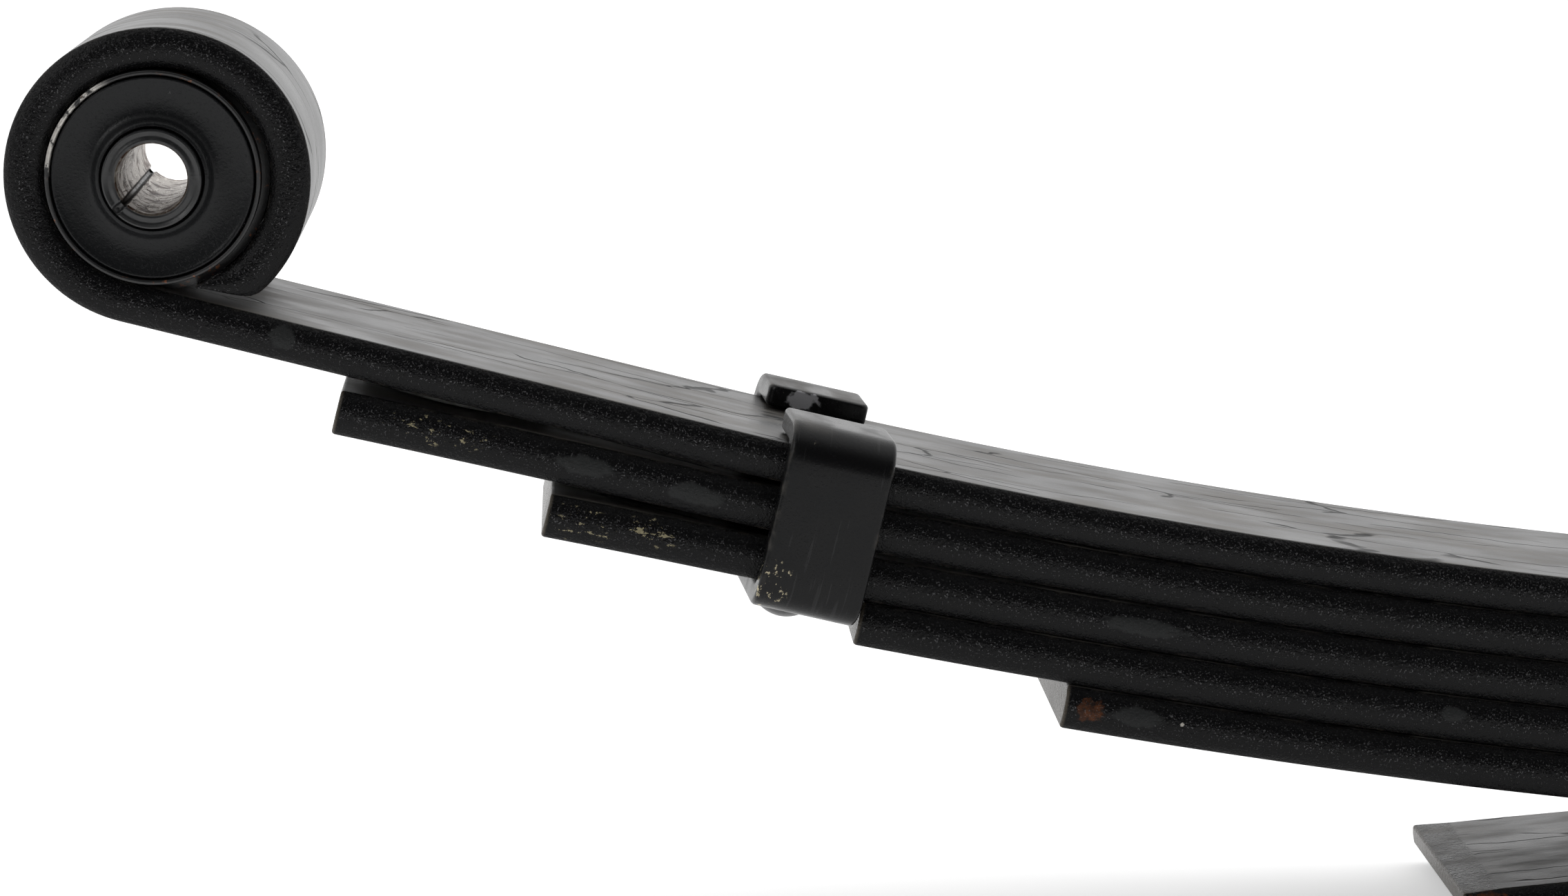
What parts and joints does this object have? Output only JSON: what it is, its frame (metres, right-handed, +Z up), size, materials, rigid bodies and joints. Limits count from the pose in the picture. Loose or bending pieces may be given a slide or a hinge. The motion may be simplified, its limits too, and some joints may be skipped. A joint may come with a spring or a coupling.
{
  "type": "leaf spring",
  "caption": "Semi-elliptic leaf spring pack with rolled eyes and rubber bushings, rebound clips, tip pads and a reverse-bent overload leaf, which springs a truck axle.",
  "frame": {"origin": "on the surface that the spring stands on, under the centre bolt", "axes": "+X along the spring from the front eye to the rear eye, +Y across the leaves, +Z up, from the axle seat towards the eyes"},
  "size_m": [1.0768, 0.0742, 0.1918],
  "materials": {
    "leaf_paint": "satin black over rolled spring steel",
    "clip_paint": "satin black over bent plate",
    "fastener_paint": "satin black",
    "shell_steel": "black paint, chipped and rusted at the rim",
    "bushing_rubber": "smooth black",
    "sleeve_steel": "bare, lightly oxidised",
    "pad_plastic": "matt grey"
  },
  "bodies": {
    "spring_pack": {"main_leaf": "leaf_paint", "second_leaf": "leaf_paint", "third_leaf": "leaf_paint", "fourth_leaf": "leaf_paint", "fifth_leaf": "leaf_paint", "overload_leaf": "leaf_paint", "centre_bolt": "fastener_paint", "centre_nut": "fastener_paint", "front_second_pad": "pad_plastic", "front_third_pad": "pad_plastic", "rear_second_pad": "pad_plastic", "rear_third_pad": "pad_plastic", "front_clip": "clip_paint", "rear_clip": "clip_paint", "front_clip_rivet": "fastener_paint", "rear_clip_rivet": "fastener_paint", "front_bushing_shell": "shell_steel", "rear_bushing_shell": "shell_steel", "front_bushing_rubber": "bushing_rubber", "rear_bushing_rubber": "bushing_rubber"},
    "front_sleeve": {"front_bushing_sleeve": "sleeve_steel"},
    "rear_sleeve": {"rear_bushing_sleeve": "sleeve_steel"}
  },
  "joints": [
    {"name": "front_sleeve_twist", "type": "hinge", "parent": "spring_pack", "child": "front_sleeve", "pos_m": [-0.508, 0, 0.16122], "axis": [0, 1, 0], "range_deg": [-20, 20], "stiffness_Nm_per_rad": 30},
    {"name": "rear_sleeve_twist", "type": "hinge", "parent": "spring_pack", "child": "rear_sleeve", "pos_m": [0.508, 0, 0.16122], "axis": [0, 1, 0], "range_deg": [-20, 20], "stiffness_Nm_per_rad": 30}
  ]
}
